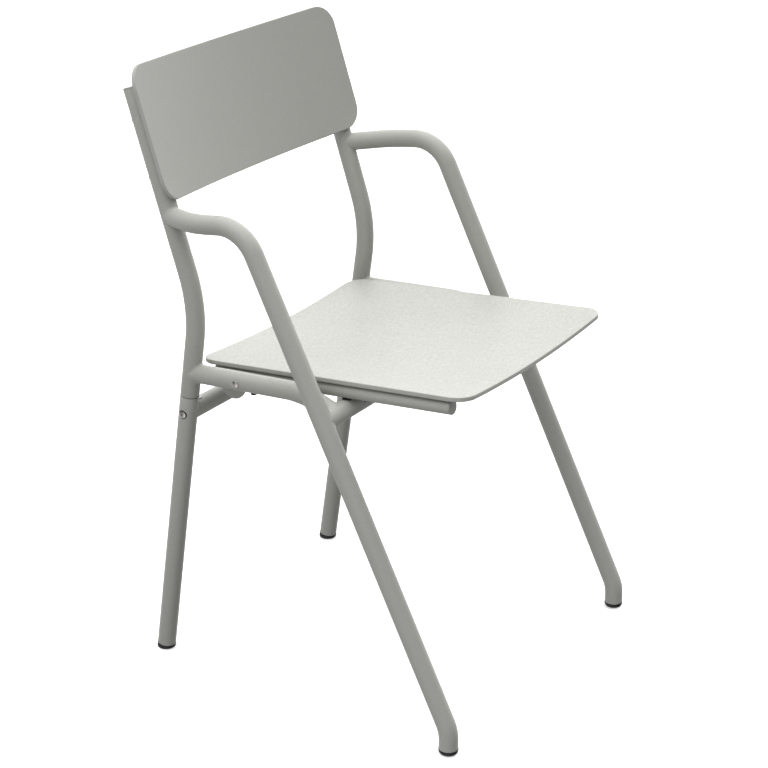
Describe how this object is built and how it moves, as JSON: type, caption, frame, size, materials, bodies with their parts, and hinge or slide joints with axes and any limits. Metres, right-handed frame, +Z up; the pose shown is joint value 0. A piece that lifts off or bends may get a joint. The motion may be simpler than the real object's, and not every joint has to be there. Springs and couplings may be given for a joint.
{
  "type": "garden chair",
  "caption": "Tubular garden armchair with a curved back panel, a dished seat panel that flips up and rear legs that fold forward under the seat.",
  "frame": {"origin": "on the floor, under the middle of the chair's bounding box", "axes": "+Z up, the chair faces -Y, the sitter's left is +X"},
  "size_m": [0.4906, 0.513, 0.816],
  "materials": {
    "powder_coat": "satin grey-green powder coat with a fine grain over aluminium",
    "stainless": "bright stainless steel",
    "rubber": "matte black",
    "plastic": "matte grey"
  },
  "bodies": {
    "frame": {"left_upright": "powder_coat", "right_upright": "powder_coat", "left_arm_leg": "powder_coat", "right_arm_leg": "powder_coat", "left_side_rail": "powder_coat", "right_side_rail": "powder_coat", "front_cross_tube": "powder_coat", "back_panel": "powder_coat", "left_back_screw_lower": "stainless", "left_back_screw_upper": "stainless", "right_back_screw_lower": "stainless", "right_back_screw_upper": "stainless", "left_upright_plug": "plastic", "right_upright_plug": "plastic", "left_front_foot": "rubber", "right_front_foot": "rubber", "left_seat_pad": "rubber", "right_seat_pad": "rubber", "left_rail_buffer": "rubber", "right_rail_buffer": "rubber", "left_hinge_socket": "stainless", "right_hinge_socket": "stainless", "left_pivot_bolt": "stainless", "right_pivot_bolt": "stainless", "left_pivot_washer": "plastic", "right_pivot_washer": "plastic", "left_pivot_nut": "stainless", "right_pivot_nut": "stainless"},
    "rear_legs": {"left_rear_leg": "powder_coat", "right_rear_leg": "powder_coat", "rear_cross_tube": "powder_coat", "left_hinge_fork": "stainless", "right_hinge_fork": "stainless", "left_hinge_pin": "stainless", "right_hinge_pin": "stainless", "left_fork_bolt": "stainless", "right_fork_bolt": "stainless", "left_rear_foot": "rubber", "right_rear_foot": "rubber"},
    "seat": {"seat_panel": "powder_coat", "left_seat_rail": "powder_coat", "right_seat_rail": "powder_coat", "left_rail_plug_front": "plastic", "left_rail_plug_rear": "plastic", "right_rail_plug_front": "plastic", "right_rail_plug_rear": "plastic", "left_seat_screw_front": "stainless", "left_seat_screw_rear": "stainless", "right_seat_screw_front": "stainless", "right_seat_screw_rear": "stainless", "left_stop_lug": "powder_coat", "right_stop_lug": "powder_coat"}
  },
  "joints": [
    {"name": "seat_flip", "type": "hinge", "parent": "frame", "child": "seat", "pos_m": [0, 0.0868, 0.42398], "axis": [-1, 0, 0], "range_deg": [0, 103]},
    {"name": "rear_leg_fold", "type": "hinge", "parent": "frame", "child": "rear_legs", "pos_m": [0, 0.15366, 0.38495], "axis": [-1, 0, 0], "range_deg": [0, 98]}
  ]
}
